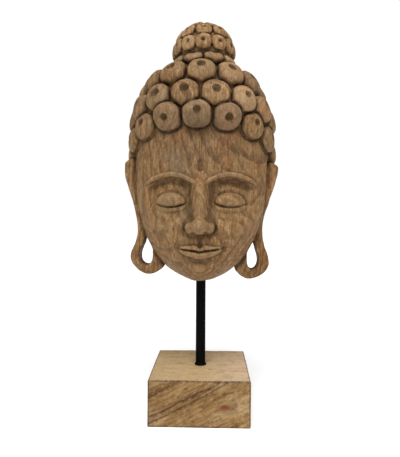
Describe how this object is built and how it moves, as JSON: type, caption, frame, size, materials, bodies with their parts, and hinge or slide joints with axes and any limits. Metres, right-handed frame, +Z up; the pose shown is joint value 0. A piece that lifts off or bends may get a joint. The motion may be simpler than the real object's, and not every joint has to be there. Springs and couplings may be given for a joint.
{
  "type": "buddha mask",
  "caption": "Carved wooden buddha mask with a topknot, round curls and long pierced ears, open behind, on a black rod over a square wooden block.",
  "frame": {"origin": "middle of the block's underside, on the rod's axis", "axes": "+Z up along the rod, -Y the way the face looks, +X to the right for someone who looks at the face"},
  "size_m": [0.203, 0.1533, 0.5056],
  "materials": {
    "mask_wood": "matt carved tropical wood, brown stain dark in the cuts",
    "rod_metal": "satin black paint",
    "block_wood": "matt wood with brown streaks, waxed"
  },
  "bodies": {
    "root": {"mask": "mask_wood", "rod": "rod_metal", "block": "block_wood"}
  },
  "joints": []
}
